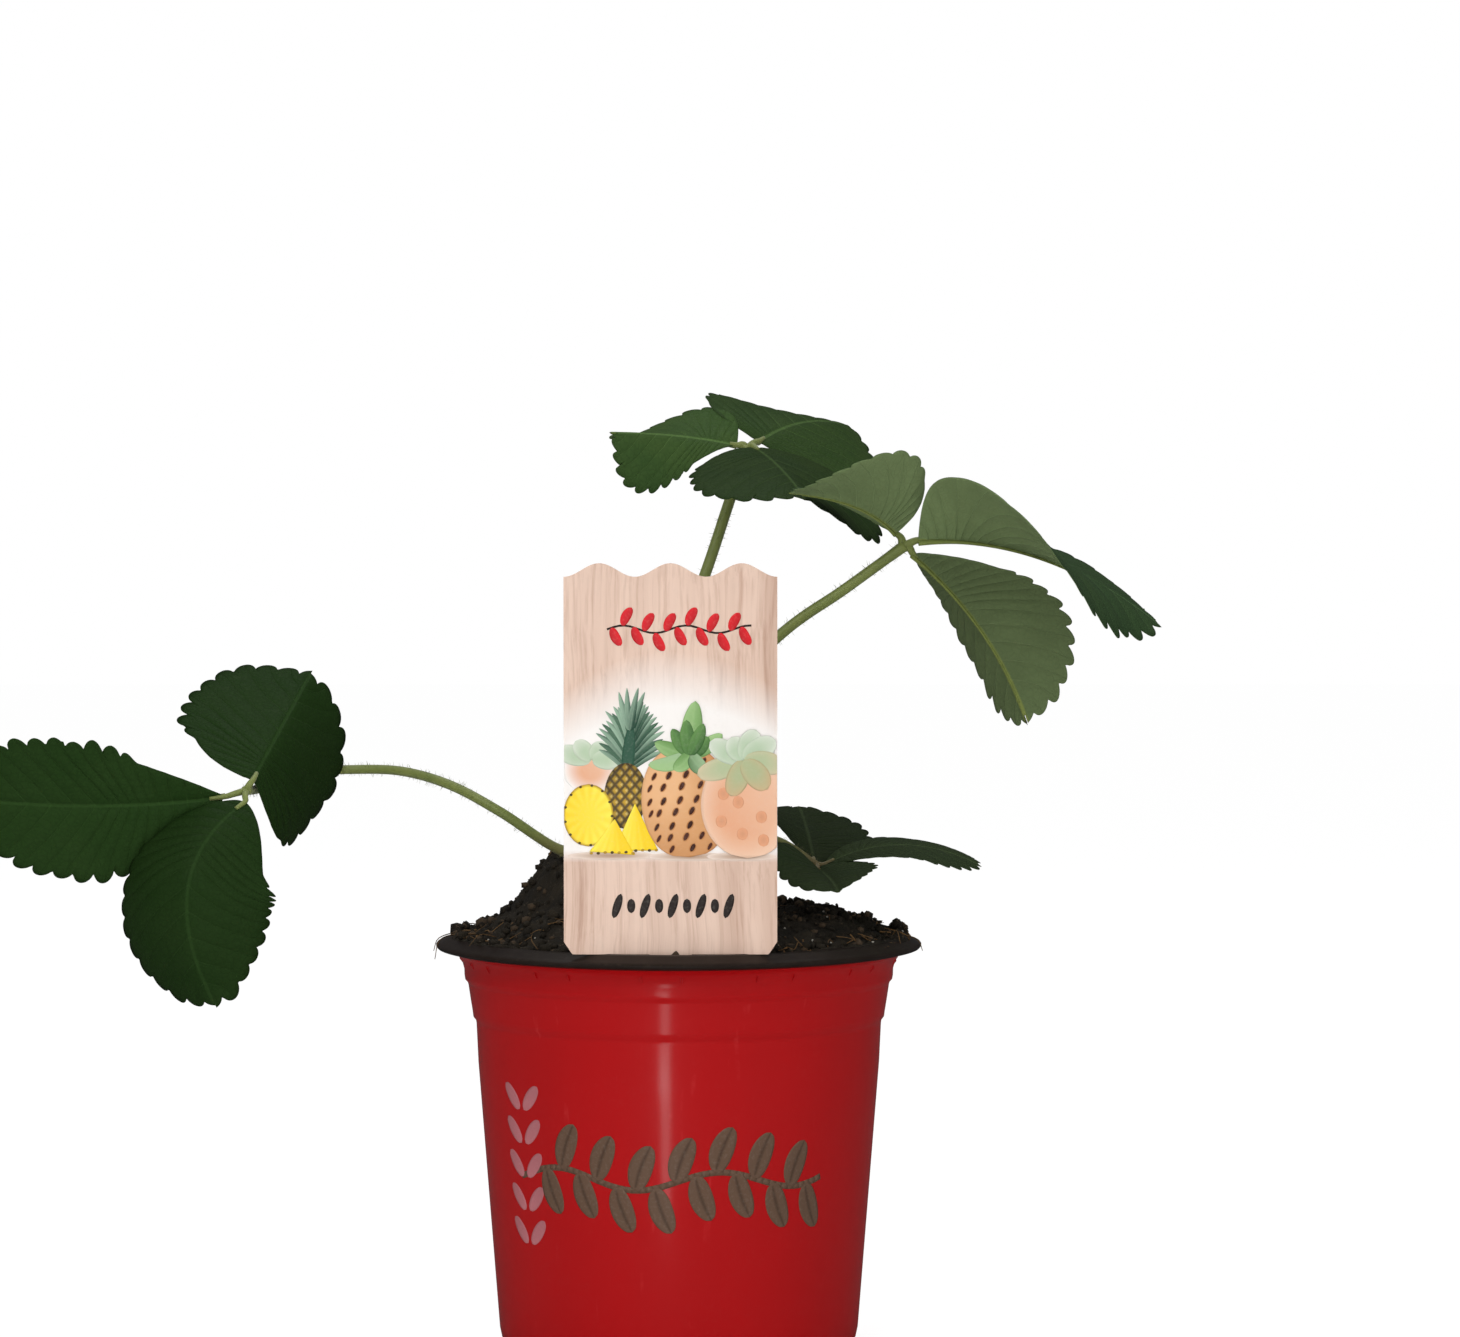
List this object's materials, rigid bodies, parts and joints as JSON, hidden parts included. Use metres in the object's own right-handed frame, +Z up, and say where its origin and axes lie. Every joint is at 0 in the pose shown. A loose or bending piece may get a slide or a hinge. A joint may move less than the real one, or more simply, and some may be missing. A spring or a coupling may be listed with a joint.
{
  "type": "potted strawberry plant",
  "caption": "Young strawberry plant with trifoliate toothed leaves on thin stalks, in a small tapered nursery pot of dark soil with a tall flat plant label.",
  "frame": {"origin": "on the pot's axis, in the plane that the pot stands on", "axes": "+Z up along the pot's axis; the flat label faces -Y; the longest leaf reaches out along -X"},
  "size_m": [0.2909, 0.1267, 0.2358],
  "materials": {
    "pot": "satin red polypropylene",
    "soil": "matt moist peat",
    "label": "satin printed card, pale wood grain",
    "crown": "matt brown",
    "petiole": "satin olive green, finely hairy",
    "leaf": "satin dark green, paler below"
  },
  "bodies": {
    "root": {"pot": "pot", "soil": "soil", "plant_label": "label", "crown_and_roots": "crown", "leaf_left_petiole": "petiole", "leaf_left_end": "leaf", "leaf_left_lower": "leaf", "leaf_left_upper": "leaf", "leaf_top_petiole": "petiole", "leaf_top_end": "leaf", "leaf_top_left": "leaf", "leaf_top_front": "leaf", "leaf_right_petiole": "petiole", "leaf_right_end": "leaf", "leaf_right_left": "leaf", "leaf_right_lower": "leaf", "leaf_low_petiole": "petiole", "leaf_low_end": "leaf", "leaf_low_upper": "leaf", "leaf_low_front": "leaf"}
  },
  "joints": []
}
